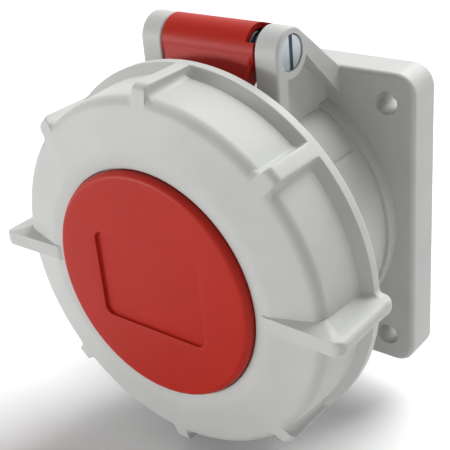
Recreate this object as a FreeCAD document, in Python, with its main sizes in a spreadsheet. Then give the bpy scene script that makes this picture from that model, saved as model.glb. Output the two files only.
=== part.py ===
import FreeCAD, Part
import math
import os
from types import SimpleNamespace

import Sketcher
from FreeCAD import Placement, Rotation, Vector

# An industrial panel socket, three phases, neutral and earth, for 16 A plugs.
# Millimetres. X runs to the right, Z up, and the socket faces -Y. The origin is the
# centre of the flange's back face, so the panel's own face is the plane y = 0.

doc = FreeCAD.newDocument("panel_socket")
sheet = doc.addObject("Spreadsheet::Sheet", "sizes")


class Size:
    """A length with its formula: the number is used to draw, the text to bind."""

    def __init__(self, text, number):
        self.text = text
        self.number = number

    def joined(self, other, sign, number):
        other_text = other.text if isinstance(other, Size) else repr(float(other))
        return Size("(" + self.text + " " + sign + " " + other_text + ")", number)

    def __add__(self, other):
        return self.joined(other, "+", self.number + float(other))

    def __sub__(self, other):
        return self.joined(other, "-", self.number - float(other))

    def __mul__(self, other):
        return self.joined(other, "*", self.number * float(other))

    def __truediv__(self, other):
        return self.joined(other, "/", self.number / float(other))

    def __neg__(self):
        return Size("(0 - " + self.text + ")", -self.number)

    def __float__(self):
        return float(self.number)


def cell(row, alias, number, meaning):
    """One row of the sheet: the meaning, the number and its alias."""
    sheet.set("A%d" % row, meaning)
    sheet.set("B%d" % row, str(number))
    sheet.setAlias("B%d" % row, alias)
    return Size("sizes." + alias, number)


driving_sizes = [
    # flange and collar
    ("flange_thickness", 9.1, "thickness of the flange"),
    ("flange_corner", 5.0, "radius of the flange's corners"),
    ("flange_soft_edge", 1.2, "rounding of the flange's front edge"),
    ("fixing_pitch", 61.0, "spacing of the fixing holes, both ways"),
    ("fixing_margin", 7.0, "a fixing hole's centre to the flange's side"),
    ("fixing_hole", 5.5, "diameter of a fixing hole"),
    ("gasket_thickness", 1.5, "panel gasket in its recess"),
    ("gasket_margin", 2.5, "flange rim left around the gasket"),
    ("well_gap", 5.4, "radial room for the plug between carrier and collar"),
    ("collar_wall", 3.4, "thickness of the collar's wall"),
    ("collar_depth", 50.0, "panel plane to the collar's front edge"),
    ("base_stand", 0.8, "step at the foot of the collar, beyond the collar"),
    ("base_height", 3.6, "height of that step over the flange"),
    ("well_floor", 16.0, "panel plane to the floor of the plug's well"),
    ("key_width", 7.0, "keyway at six o'clock"),
    ("key_depth", 1.9, "depth of the keyway"),
    ("plate_height", 0.4, "raised blank label plate on the collar's side"),
    ("plate_rear", 15.0, "panel plane to the label plate's rear edge"),
    ("plate_front", 31.4, "panel plane to the label plate's front edge"),
    ("plate_angle", 77.0, "angle that the label plate covers"),
    # hinge
    ("pin_setback", 10.9, "ring's rear face back to the hinge axis"),
    ("pin_rise", 0.6, "top of the ring's rim up to the hinge axis"),
    ("boss_radius", 5.5, "outside of the hinge bosses and barrel"),
    ("lug_inner", 12.8, "centre plane to the inner face of a lug"),
    ("lug_thickness", 5.85, "thickness of a lug"),
    ("lug_border", 3.4, "raised border round a lug's pocket"),
    ("lug_pocket", 3.25, "depth of that pocket"),
    ("lug_foot_height", 31.2, "height where the border's lower edge meets the flange"),
    ("pin_radius", 2.5, "shank of the hinge screw"),
    ("pin_head_radius", 3.85, "head of the hinge screw"),
    ("pin_head_height", 2.2, "height of that head"),
    ("pin_slot", 1.25, "width of its slot"),
    ("pin_recess", 0.25, "head below the lug's face"),
    ("pin_clearance", 0.05, "running clearance round the shank"),
    ("lug_slope", 40.0, "slope of a lug's top"),
    ("lug_edge", 0.6, "rounding of a lug's edges"),
    ("boss_side", 20.0, "angle below level where the boss meets the sloping border"),
    ("pin_wall", 2.0, "wall left at the blind end of the pin's bore"),
    ("side_gap", 0.3, "gap between the barrel and a lug"),
    ("spring_pocket", 9.5, "depth of the spring's pocket in the barrel"),
    ("spring_pocket_radius", 4.3, "radius of that pocket"),
    ("spring_window", 2.2, "depth of the window in the barrel's end"),
    ("window_rear", 70.0, "angle above level, rearwards, where the window starts"),
    ("window_front", 30.0, "angle above level, forwards, where it ends"),
    ("spring_wire", 0.9, "wire of the closing spring"),
    ("spring_radius", 3.4, "mean radius of its coil"),
    ("spring_turns", 6.0, "turns of the closing spring"),
    ("spring_leg", 2.3, "straight leg at each end of the spring"),
    ("spring_seat", 1.2, "depth of the spring's seat in the lug"),
    ("coil_gap", 0.1, "gap round the spring's wire and at each end of its coil"),
    # contacts and their carrier
    ("contact_circle", 16.5, "radius of the circle of contacts"),
    ("live_bore", 2.53, "bore of a live or neutral contact"),
    ("earth_bore", 3.53, "bore of the earth contact"),
    ("sleeve_wall", 1.1, "wall of a contact sleeve"),
    ("carrier_side", 2.12, "carrier's wall outside the earth contact's chamber"),
    ("carrier_recess", 5.0, "collar's edge back to the carrier's front face"),
    ("carrier_lip", 1.6, "lip that holds a contact in front"),
    ("carrier_flange", 6.0, "radial width of the carrier's flange"),
    ("carrier_seat", 9.0, "panel plane to the face that the carrier seats on"),
    ("seal_thickness", 1.0, "seal between the carrier and its seat"),
    ("terminal_front", 2.5, "panel plane to the joint of carrier and terminal block"),
    ("terminal_side", 2.45, "block's wall outside a terminal's chamber"),
    ("terminal_length", 24.5, "length of the terminal block"),
    ("terminal_wall", 4.0, "rear wall of the terminal block"),
    ("wire_bore", 2.6, "radius of a wire entry"),
    ("terminal_screw", 2.0, "radius of a terminal screw"),
    ("carrier_screw", 1.5, "radius of a carrier screw"),
    ("screw_turn", 45.0, "angle of the first carrier screw above level"),
    ("screw_bite", 5.0, "screw in the piece that it holds to"),
    ("screw_end_gap", 1.0, "block screw's tip to the end of its hole"),
    ("screw_head_radius", 2.5, "head of a carrier or block screw"),
    ("screw_head_height", 1.8, "height of that head"),
    ("grub_length", 3.4, "length of a terminal screw"),
    ("screw_inset", 7.0, "terminal block's rear wall forward to the terminal screws"),
    ("access_radius", 2.6, "radius of the way in to a terminal screw"),
    ("barrel_radius", 4.2, "outside of a terminal barrel"),
    ("barrel_front", 7.0, "panel plane to the front of the terminal barrels"),
    ("wire_stop", 4.0, "panel plane back to the bottom of a wire's bore"),
    ("pin_stop", 14.0, "panel plane to the bottom of a plug pin's bore"),
    ("sleeve_gap", 0.25, "gap round a contact in its chamber"),
    ("entry_clearance", 0.3, "carrier's front hole over the contact's bore"),
    ("slit_width", 0.8, "width of a slit or a small screw's slot"),
    ("slit_length", 17.0, "length of the slit in a contact sleeve"),
    ("clip_place", 2.5, "contact's tip to its spring ring"),
    ("clip_width", 1.4, "width of the spring ring's groove"),
    ("clip_depth", 0.4, "depth of that groove"),
    ("clip_stand", 0.15, "spring ring proud of the sleeve"),
    ("clip_angle", 325.0, "angle that the spring ring covers"),
    ("carrier_soft_edge", 0.6, "rounding of the insulators' and seal's edges"),
    ("fit_gap", 0.2, "gap round a piece that is fitted in another"),
    # lid
    ("lid_gap", 0.3, "gap between the lid and the ring that turns on it"),
    ("lid_plate", 2.5, "thickness of the lid's plate"),
    ("lid_stand", 2.1, "collar's edge to the rear face of the lid's plate"),
    ("lid_overhang", 4.5, "lid's plate beyond the collar, radially"),
    ("lid_side_gap", 1.0, "lid's plate to the inside of the ring's wall"),
    ("hub_stand", 0.5, "hub that the ring turns on, beyond the carrier radially"),
    ("hub_clearance", 0.1, "running clearance of the ring on the hub"),
    ("seal_gap", 0.15, "lid seal to the collar's edge"),
    ("seal_radial", 5.0, "radial width of the lid seal"),
    ("seal_groove", 1.2, "depth of the seal's groove"),
    ("tongue_thickness", 2.6, "tongue that passes between ring and collar"),
    ("tongue_gap", 1.1, "collar up to the tongue's lower face"),
    ("tongue_half_width", 10.0, "centre plane to the tongue's side"),
    ("arm_lean", 3.1, "arm's foot in front of the barrel's front"),
    ("arm_thickness", 3.2, "thickness of the arm at its foot"),
    ("arm_taper_start", 1.0, "tongue's top up to where the arm widens"),
    ("arm_edge", 0.8, "rounding of the arm's front edges"),
    ("disc_lap", 3.2, "front disc beyond the hub, radially"),
    ("disc_thickness", 2.4, "thickness of the front disc"),
    ("disc_edge", 1.5, "rounding of the disc's edge"),
    ("disc_seat", 0.8, "depth of the disc's seat in the ring"),
    ("spigot_radius", 6.0, "spigot behind the disc"),
    ("spigot_length", 2.0, "length of that spigot"),
    ("field_width", 29.2, "recessed blank field on the disc, across"),
    ("field_height", 21.6, "the same, up"),
    ("field_depth", 0.8, "depth of that field"),
    ("field_corner", 2.2, "corner radius of that field"),
    # locking ring
    ("ring_overlap", 12.2, "collar's edge back to the rim's rear face"),
    ("rim_thickness", 2.4, "thickness of the rim"),
    ("rim_stand", 3.7, "rim beyond the ring's wall"),
    ("wall_taper", 1.3, "growth of the wall's radius from the shoulder to the rim"),
    ("shoulder_round", 3.2, "radius of the soft shoulder"),
    ("ring_wall", 2.4, "thickness of the ring's wall and face"),
    ("crest_rise", 0.4, "rise of the ring's face from the disc to the shoulder"),
    ("rib_width", 3.5, "width of a grip rib"),
    ("rib_round", 3.0, "rounding of a rib's nose"),
    ("nose_tangent", 0.4142, "length of the nose's curve along each side, over its radius"),
    ("half_diagonal", 0.7071, "side of a square over its diagonal"),
    ("rib_foot", 0.9, "fillet at a rib's foot"),
    ("rib_lead", 4.5, "length of a rib's sloping front"),
    ("rib_sink", 0.15, "fall of a rib's front towards its inner end"),
    ("wing_thickness", 3.6, "thickness of a wing"),
    ("wing_stand", 3.3, "wing's outer edge beyond the rim"),
    ("wing_rise", 0.9, "wing's front corner in front of the ring's face"),
    ("wing_inset", 2.3, "disc's edge to where a wing's front edge leaves the face"),
    ("wing_round", 2.4, "corner radius of a wing"),
    ("catch_gap", 2.7, "collar to the inside of the ring's bayonet catches"),
    ("catch_setback", 1.1, "rim's rear face to a catch's rear face"),
    ("catch_angle", 20.0, "angle of a bayonet catch"),
    ("catch_thickness", 3.2, "thickness of a bayonet catch"),
    ("cam_stand", 5.2, "collar's bayonet cams beyond the collar, radially"),
    ("cam_angle", 22.0, "angle of a bayonet cam"),
    ("lock_turn", 35.0, "turn of the ring from open to locked"),
]
size = {}
for row, (alias, number, meaning) in enumerate(driving_sizes, start=1):
    size[alias] = cell(row, alias, number, meaning)
doc.recompute()
s = SimpleNamespace(**size)


def new_body(label):
    body = doc.addObject("PartDesign::Body", label)
    body.Label = label
    return body


def origin_plane(body, role):
    return next(f for f in body.Origin.OriginFeatures if f.Role == role)


def new_sketch(body, name, role, offset=None):
    """A sketch on one of the body's own planes, moved along the plane's normal."""
    sketch = body.newObject("Sketcher::SketchObject", body.Name + "_" + name)
    sketch.AttachmentSupport = [(origin_plane(body, role), "")]
    sketch.MapMode = "FlatFace"
    if offset is not None:
        sketch.AttachmentOffset = Placement(Vector(0, 0, float(offset)), Rotation())
        sketch.setExpression("AttachmentOffset.Base.z", offset.text)
    return sketch


def fix_point(sketch, geometry, end, u, v):
    """Tie one end of a line or arc to the sizes that give its place."""
    for kind, where in (("DistanceX", u), ("DistanceY", v)):
        number = float(where)
        constraint = sketch.addConstraint(Sketcher.Constraint(kind, -1, 1, geometry, end, number))
        if isinstance(where, Size):
            sketch.setExpression("Constraints[%d]" % constraint, where.text)


def outline(sketch, corners):
    """A closed outline through the corners (u, v) in order. A third entry is the radius
    of an arc to the next corner, positive where the arc bulges to the right of the way."""
    points = [Vector(float(c[0]), float(c[1]), 0) for c in corners]
    starts = []
    for i, corner in enumerate(corners):
        here = points[i]
        there = points[(i + 1) % len(points)]
        if len(corner) == 2:
            sketch.addGeometry(Part.LineSegment(here, there), False)
            starts.append((1, 2))
            continue
        radius = corner[2]
        half = (there - here) * 0.5
        right = Vector(half.y, -half.x, 0).normalize()
        sagitta = abs(float(radius)) - math.sqrt(float(radius) ** 2 - half.Length ** 2)
        middle = here + half + right * math.copysign(sagitta, float(radius))
        arc = sketch.addGeometry(Part.Arc(here, middle, there), False)
        turned = sketch.getPoint(arc, 1).distanceToPoint(here) > sketch.getPoint(arc, 2).distanceToPoint(here)
        starts.append((2, 1) if turned else (1, 2))
    for i, corner in enumerate(corners):
        following = (i + 1) % len(corners)
        joint = (i, starts[i][1], following, starts[following][0])
        sketch.addConstraint(Sketcher.Constraint("Coincident", *joint))
    for i, corner in enumerate(corners):
        fix_point(sketch, i, starts[i][0], corner[0], corner[1])
        if len(corner) == 3:
            radius = corner[2]
            bend = sketch.addConstraint(Sketcher.Constraint("Radius", i, abs(float(radius))))
            if isinstance(radius, Size):
                text = radius.text if float(radius) > 0 else (-radius).text
                sketch.setExpression("Constraints[%d]" % bend, text)


def circle(sketch, u, v, radius):
    """A circle whose centre and radius follow the sizes."""
    centre = Vector(float(u), float(v), 0)
    ring = sketch.addGeometry(Part.Circle(centre, Vector(0, 0, 1), float(radius)), False)
    fix_point(sketch, ring, 3, u, v)
    bend = sketch.addConstraint(Sketcher.Constraint("Radius", ring, float(radius)))
    sketch.setExpression("Constraints[%d]" % bend, radius.text)


def rectangle(sketch, left, right, low, high):
    outline(sketch, [(left, low), (right, low), (right, high), (left, high)])


def feature(body, kind, name, sketch, **values):
    """A feature on a sketch. Sizes among the values are bound to the sheet."""
    made = body.newObject("PartDesign::" + kind, body.Name + "_" + name)
    made.Profile = sketch
    for key, value in values.items():
        if isinstance(value, Size):
            setattr(made, key, float(value))
            made.setExpression(key, value.text)
        else:
            setattr(made, key, value)
    sketch.Visibility = False
    body.Tip = made
    doc.recompute()
    return made


def pad(body, name, sketch, length, **values):
    return feature(body, "Pad", name, sketch, Length=length, **values)


def pocket(body, name, sketch, length=None, **values):
    """A pocket that has to take something away."""
    before = body.Shape.Volume
    if length is None:
        made = feature(body, "Pocket", name, sketch, Type="ThroughAll", **values)
    else:
        made = feature(body, "Pocket", name, sketch, Length=length, **values)
    assert body.Shape.Volume < before, name + " cuts nothing"
    return made


def turned(body, name, sketch, kind="Revolution", angle=360.0, **values):
    """A solid or a groove turned about the socket's own axis, Y."""
    return feature(body, kind, name, sketch, ReferenceAxis=(sketch, ["V_Axis"]), Angle=angle, **values)


def edges_where(shape, test):
    """Names of the edges whose two ends and middle all pass the test."""
    names = []
    for number, edge in enumerate(shape.Edges, start=1):
        middle = edge.valueAt((edge.FirstParameter + edge.LastParameter) / 2)
        ends = [vertex.Point for vertex in edge.Vertexes] + [middle]
        if all(test(point) for point in ends):
            names.append("Edge%d" % number)
    return names


def dress(body, kind, name, base, names, **values):
    """A fillet or chamfer on the named edges."""
    assert names, name + " finds no edge"
    made = body.newObject("PartDesign::" + kind, body.Name + "_" + name)
    made.Base = (base, names)
    for key, value in values.items():
        setattr(made, key, float(value))
        made.setExpression(key, value.text)
    body.Tip = made
    doc.recompute()
    return made


def pattern(body, kind, name, originals, **values):
    made = body.newObject("PartDesign::" + kind, body.Name + "_" + name)
    made.Originals = originals
    for key, value in values.items():
        setattr(made, key, value)
    body.Tip = made
    doc.recompute()
    return made


touching = 0.01


def near(a, b):
    """Whether two places agree within the touching distance."""
    return abs(a - b) < touching


def sine(angle):
    return Size("sin(" + angle.text + " * 1 deg)", math.sin(math.radians(float(angle))))


def cosine(angle):
    return Size("cos(" + angle.text + " * 1 deg)", math.cos(math.radians(float(angle))))


def root(value):
    return Size("sqrt(" + value.text + ")", math.sqrt(float(value)))


def round_hole(body, name, role, offset, u, v, radius, depth=None, **values):
    """A round hole cut from a plane of the body's origin."""
    sketch = new_sketch(body, name + "_circle", role, offset)
    circle(sketch, u, v, radius)
    return pocket(body, name, sketch, depth, **values)


def round_pad(body, name, role, offset, u, v, radius, length):
    sketch = new_sketch(body, name + "_circle", role, offset)
    circle(sketch, u, v, radius)
    return pad(body, name, sketch, length)


def around(body, name, originals, count):
    """The features repeated at even steps about the socket's axis."""
    axis = origin_plane(body, "Y_Axis")
    return pattern(body, "PolarPattern", name, originals, Axis=(axis, [""]), Angle=360.0, Occurrences=count)


def mirrored(body, name, originals):
    """The features repeated on the other side of the upright centre plane."""
    plane = origin_plane(body, "YZ_Plane")
    return pattern(body, "Mirrored", name, originals, MirrorPlane=(plane, [""]))


def on_radius(body, angle, radius):
    """Carry a sub-part out along a radius of the socket, its own X pointing outwards."""
    turn = math.radians(angle)
    place = Vector(float(radius) * math.cos(turn), 0, float(radius) * math.sin(turn))
    body.Placement = Placement(place, Rotation(Vector(0, 1, 0), -angle))
    body.setExpression("Placement.Base.x", "%s * cos(%s deg)" % (radius.text, angle))
    body.setExpression("Placement.Base.z", "%s * sin(%s deg)" % (radius.text, angle))


middle = Size("0", 0.0)
half_pitch = s.fixing_pitch / 2
half_flange = half_pitch + s.fixing_margin
fixing_places = [
    (-half_pitch, -half_pitch),
    (half_pitch, -half_pitch),
    (half_pitch, half_pitch),
    (-half_pitch, half_pitch),
]

# Radii, built outwards from the circle of contacts.
chamber_radius = s.earth_bore + s.sleeve_wall + s.sleeve_gap
carrier_radius = s.contact_circle + chamber_radius + s.carrier_side
terminal_radius = s.contact_circle + s.barrel_radius + s.sleeve_gap + s.terminal_side
carrier_flange_radius = carrier_radius + s.carrier_flange
screw_circle = carrier_radius + s.carrier_flange / 2
collar_bore = carrier_radius + s.well_gap
collar_radius = collar_bore + s.collar_wall
collar_middle = (collar_bore + collar_radius) / 2
hub_radius = carrier_radius + s.hub_stand
disc_radius = hub_radius + s.disc_lap
lid_radius = collar_radius + s.lid_overhang
shoulder_radius = lid_radius + s.lid_side_gap + s.ring_wall
wall_radius = shoulder_radius + s.wall_taper
rim_radius = wall_radius + s.rim_stand
tongue_low = collar_radius + s.tongue_gap
tongue_top = tongue_low + s.tongue_thickness

# Distances in front of the panel, built on the collar's edge.
carrier_flange_front = s.carrier_seat - s.seal_thickness
carrier_front = s.collar_depth - s.carrier_recess
plate_rear = s.collar_depth + s.lid_stand
plate_front = plate_rear + s.lid_plate
inner_face = plate_front + s.lid_gap
ring_face = inner_face + s.ring_wall
face_crest = ring_face + s.crest_rise
hub_front = ring_face - s.disc_seat + s.lid_gap
ring_rear = s.collar_depth - s.ring_overlap
catch_rear = ring_rear + s.catch_setback
catch_front = catch_rear + s.catch_thickness

# Distances behind the panel.
block_back = s.terminal_length - s.terminal_front
screw_place = block_back - s.terminal_wall - s.screw_inset

# The hinge.
pin_y = -(ring_rear - s.pin_setback)
pin_z = rim_radius + s.pin_rise
lug_outer = s.lug_inner + s.lug_thickness
lug_front = pin_y - s.boss_radius
barrel_end = s.lug_inner - s.side_gap
leg_room = s.spring_wire / 2 + s.coil_gap
leg_front = pin_y - s.spring_radius - leg_room
leg_back = pin_y - s.spring_radius + leg_room
leg_reach = s.spring_leg + s.fit_gap * 2


def make_housing():
    """Flange, collar and hinge lugs, moulded in one."""
    body = new_body("housing")
    square = new_sketch(body, "flange_outline", "XZ_Plane")
    rectangle(square, -half_flange, half_flange, -half_flange, half_flange)
    flange = pad(body, "flange", square, s.flange_thickness)
    side = float(half_flange)
    corners = edges_where(flange.Shape, lambda p: near(abs(p.x), side) and near(abs(p.z), side))
    flange = dress(body, "Fillet", "flange_corners", flange, corners, Radius=s.flange_corner)
    front_edges = edges_where(flange.Shape, lambda p: near(p.y, -float(s.flange_thickness)))
    dress(body, "Fillet", "flange_front_edge", flange, front_edges, Radius=s.flange_soft_edge)

    # A lug is a boss round the pin with an upright front and a top that slopes down to the
    # flange. Its outer face is hollow between the boss, the sloping border and the front border.
    lug_low = collar_radius / 2
    crown_y = pin_y + s.boss_radius * sine(s.lug_slope)
    crown_z = pin_z + s.boss_radius * cosine(s.lug_slope)
    slope_end = -s.flange_thickness / 2
    slope_low = crown_z - (slope_end - crown_y) * sine(s.lug_slope) / cosine(s.lug_slope)
    lug_side = new_sketch(body, "lug_outline", "YZ_Plane", s.lug_inner)
    outline(lug_side, [
        (lug_front, lug_low),
        (lug_front, pin_z, -s.boss_radius),
        (crown_y, crown_z),
        (slope_end, slope_low),
        (slope_end, lug_low),
    ])
    lug = pad(body, "lug", lug_side, s.lug_thickness)
    border_y = lug_front + s.lug_border
    inside = s.boss_radius - s.lug_border
    under_boss = pin_z - root(s.boss_radius * s.boss_radius - inside * inside)
    hollow_side = new_sketch(body, "lug_hollow_outline", "YZ_Plane", lug_outer)
    outline(hollow_side, [
        (border_y, lug_low),
        (border_y, under_boss, s.boss_radius),
        (pin_y + s.boss_radius * cosine(s.boss_side), pin_z - s.boss_radius * sine(s.boss_side)),
        (-s.flange_thickness, s.lug_foot_height),
        (-s.flange_thickness, lug_low),
    ])
    hollow = pocket(body, "lug_hollow", hollow_side, s.lug_pocket)
    lugs = mirrored(body, "left_lug", [lug, hollow])
    faces = (float(s.lug_inner), float(lug_outer))
    over_the_pin = edges_where(
        lugs.Shape,
        lambda p: any(near(abs(p.x), face) for face in faces) and p.z > float(pin_z) - touching
        and near(math.hypot(p.y - float(pin_y), p.z - float(pin_z)), float(s.boss_radius)),
    )
    dress(body, "Fillet", "lug_edges", lugs, over_the_pin, Radius=s.lug_edge)

    # The collar is turned as a solid first, so that it also closes the foot of each lug.
    tube = new_sketch(body, "collar_profile", "XY_Plane")
    rectangle(tube, middle, collar_radius, -s.collar_depth, -s.flange_thickness / 2)
    turned(body, "collar", tube)
    foot_front = s.flange_thickness + s.base_height
    foot = new_sketch(body, "foot_profile", "XY_Plane")
    rectangle(foot, collar_middle, collar_radius + s.base_stand, -foot_front, -s.flange_thickness / 2)
    turned(body, "collar_foot", foot)
    plate = new_sketch(body, "plate_profile", "XY_Plane")
    rectangle(plate, collar_middle, collar_radius + s.plate_height, -s.plate_front, -s.plate_rear)
    turned(body, "label_plate", plate, angle=s.plate_angle, Midplane=True)

    # A bayonet cam at each side of the collar, behind which the ring's catches turn.
    cam_rear = catch_front + s.lid_gap
    cam = new_sketch(body, "cam_profile", "XY_Plane")
    rectangle(cam, collar_middle, collar_radius + s.cam_stand, -(cam_rear + s.catch_thickness), -cam_rear)
    right_cam = turned(body, "right_cam", cam, angle=s.cam_angle, Midplane=True)
    mirrored(body, "left_cam", [right_cam])

    # The cavity: a bore for the carrier's flange, a floor with its hole, then the plug's well.
    rear_bore = carrier_flange_radius + s.fit_gap
    floor_hole = carrier_radius + s.fit_gap
    beyond = s.collar_depth + s.gasket_thickness
    cavity = new_sketch(body, "cavity_profile", "XY_Plane")
    outline(cavity, [
        (middle, s.gasket_thickness),
        (middle, -beyond),
        (collar_bore, -beyond),
        (collar_bore, -s.well_floor),
        (floor_hole, -s.well_floor),
        (floor_hole, -s.carrier_seat),
        (rear_bore, -s.carrier_seat),
        (rear_bore, s.gasket_thickness),
    ])
    turned(body, "cavity", cavity, "Groove")
    rim = edges_where(body.Shape, lambda p: near(p.y, -float(s.collar_depth)))
    dress(body, "Fillet", "collar_edge", body.Tip, rim, Radius=s.plate_height)
    key = new_sketch(body, "keyway_outline", "XZ_Plane", s.collar_depth)
    half_key = s.key_width / 2
    rectangle(key, -half_key, half_key, -(collar_bore + s.key_depth), -(collar_bore - s.key_depth))
    pocket(body, "keyway", key, s.collar_depth - s.well_floor)

    recess = new_sketch(body, "gasket_recess_outline", "XZ_Plane")
    recess_side = half_flange - s.gasket_margin
    rectangle(recess, -recess_side, recess_side, -recess_side, recess_side)
    pocket(body, "gasket_recess", recess, s.gasket_thickness, Reversed=True)
    holes = new_sketch(body, "fixing_circles", "XZ_Plane")
    for across, up in fixing_places:
        circle(holes, across, up, s.fixing_hole / 2)
    pocket(body, "fixing_holes", holes, s.flange_thickness, Reversed=True)
    screw_hole = round_hole(
        body, "carrier_screw_hole", "XZ_Plane", s.carrier_seat, screw_circle * cosine(s.screw_turn),
        screw_circle * sine(s.screw_turn), s.carrier_screw + s.pin_clearance, s.screw_bite + s.fit_gap,
        Reversed=True,
    )
    around(body, "carrier_screw_holes", [screw_hole], 4)

    # The pin's bore runs from the counterbore in the right lug into the blind left one.
    bore_length = lug_outer * 2 - s.pin_wall
    bore_radius = s.pin_radius + s.pin_clearance
    round_hole(body, "pin_bore", "YZ_Plane", lug_outer, pin_y, pin_z, bore_radius, bore_length)
    counterbore = s.pin_head_height + s.pin_recess
    head_room = s.pin_head_radius + s.fit_gap
    round_hole(body, "pin_counterbore", "YZ_Plane", lug_outer, pin_y, pin_z, head_room, counterbore)
    round_hole(
        body, "spring_seat", "YZ_Plane", s.lug_inner, pin_y, pin_z, s.spring_pocket_radius, s.spring_seat,
        Reversed=True,
    )
    leg_slot = new_sketch(body, "leg_slot_outline", "YZ_Plane", s.lug_inner)
    rectangle(leg_slot, leg_front, leg_back, pin_z - leg_reach, pin_z)
    pocket(body, "leg_slot", leg_slot, s.spring_seat, Reversed=True)
    return body


def make_panel_gasket():
    """The flat gasket in the back of the flange."""
    body = new_body("panel_gasket")
    side = half_flange - s.gasket_margin - s.fit_gap
    sheet_outline = new_sketch(body, "outline", "XZ_Plane")
    rectangle(sheet_outline, -side, side, -side, side)
    sheet_pad = pad(body, "sheet", sheet_outline, s.gasket_thickness)
    reach = float(side)
    corners = edges_where(sheet_pad.Shape, lambda p: near(abs(p.x), reach) and near(abs(p.z), reach))
    dress(body, "Fillet", "corners", sheet_pad, corners, Radius=s.fit_gap * 4)
    holes = new_sketch(body, "circles", "XZ_Plane")
    circle(holes, middle, middle, carrier_flange_radius + s.fit_gap)
    for across, up in fixing_places:
        circle(holes, across, up, s.fixing_hole / 2)
    pocket(body, "holes", holes, s.gasket_thickness, Reversed=True)
    return body


def make_carrier_seal():
    """The flat seal between the contact carrier and its seat."""
    body = new_body("carrier_seal")
    profile = new_sketch(body, "profile", "XY_Plane")
    rectangle(
        profile, carrier_radius + s.fit_gap, carrier_flange_radius, -s.carrier_seat, -carrier_flange_front,
    )
    turned(body, "washer", profile)
    hole = round_hole(
        body, "screw_hole", "XZ_Plane", carrier_flange_front, screw_circle * cosine(s.screw_turn),
        screw_circle * sine(s.screw_turn), s.carrier_screw + s.fit_gap, s.seal_thickness, Reversed=True,
    )
    around(body, "screw_holes", [hole], 4)
    return body


def make_contact_carrier():
    """The insulator that holds the five contacts, screwed in from behind."""
    body = new_body("contact_carrier")
    profile = new_sketch(body, "profile", "XY_Plane")
    outline(profile, [
        (middle, -s.terminal_front),
        (middle, -carrier_front),
        (carrier_radius, -carrier_front),
        (carrier_radius, -carrier_flange_front),
        (carrier_flange_radius, -carrier_flange_front),
        (carrier_flange_radius, -s.terminal_front),
    ])
    turned(body, "insulator", profile)
    rim = edges_where(body.Shape, lambda p: near(p.y, -float(carrier_front)))
    dress(body, "Fillet", "front_edge", body.Tip, rim, Radius=s.carrier_soft_edge)
    low = -s.contact_circle
    chamber_length = carrier_front - s.carrier_lip - s.terminal_front
    entry_depth = s.carrier_lip + s.sleeve_wall
    live_entry = s.live_bore + s.entry_clearance
    live_chamber = s.live_bore + s.sleeve_wall + s.sleeve_gap
    lip = round_hole(body, "pin_entry", "XZ_Plane", carrier_front, middle, low, live_entry, entry_depth)
    chamber = round_hole(
        body, "chamber", "XZ_Plane", s.terminal_front, middle, low, live_chamber, chamber_length,
        Reversed=True,
    )
    barrel_room = round_hole(
        body, "barrel_room", "XZ_Plane", s.terminal_front, middle, low, s.barrel_radius + s.sleeve_gap,
        s.barrel_front - s.terminal_front, Reversed=True,
    )
    around(body, "five_places", [lip, chamber, barrel_room], 5)
    earth_entry = s.earth_bore + s.entry_clearance
    round_hole(body, "earth_entry", "XZ_Plane", carrier_front, middle, low, earth_entry, entry_depth)
    round_hole(
        body, "earth_chamber", "XZ_Plane", s.terminal_front, middle, low, chamber_radius, chamber_length,
        Reversed=True,
    )
    screw_hole = round_hole(
        body, "screw_hole", "XZ_Plane", s.terminal_front, screw_circle * cosine(s.screw_turn),
        screw_circle * sine(s.screw_turn), s.carrier_screw + s.fit_gap,
        carrier_flange_front - s.terminal_front, Reversed=True,
    )
    around(body, "screw_holes", [screw_hole], 4)
    thread = s.carrier_screw + s.pin_clearance
    round_hole(
        body, "block_screw_hole", "XZ_Plane", s.terminal_front, middle, middle, thread, s.screw_bite * 2,
        Reversed=True,
    )
    return body


def make_terminal_block():
    """The block behind the carrier, with a chamber and a wire entry for each terminal."""
    body = new_body("terminal_block")
    low = -s.contact_circle
    profile = new_sketch(body, "profile", "XY_Plane")
    rectangle(profile, middle, terminal_radius, -s.terminal_front, block_back)
    turned(body, "block", profile)
    rim = edges_where(body.Shape, lambda p: near(p.y, float(block_back)))
    dress(body, "Fillet", "rear_edge", body.Tip, rim, Radius=s.carrier_soft_edge)
    chamber = round_hole(
        body, "chamber", "XZ_Plane", s.terminal_front, middle, low, s.barrel_radius + s.sleeve_gap,
        s.terminal_length - s.terminal_wall,
    )
    entry = round_hole(
        body, "wire_entry", "XZ_Plane", -block_back, middle, low, s.wire_bore,
        s.terminal_wall + s.sleeve_wall, Reversed=True,
    )
    access = round_hole(
        body, "screw_access", "XY_Plane", -terminal_radius, middle, screw_place, s.access_radius,
        terminal_radius - s.contact_circle, Reversed=True,
    )
    around(body, "five_places", [chamber, entry, access], 5)
    round_hole(body, "screw_hole", "XZ_Plane", s.terminal_front, middle, middle, s.carrier_screw + s.fit_gap)
    round_hole(
        body, "screw_head_room", "XZ_Plane", -block_back, middle, middle, s.screw_head_radius + s.fit_gap,
        s.screw_head_height + s.fit_gap, Reversed=True,
    )
    return body


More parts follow.
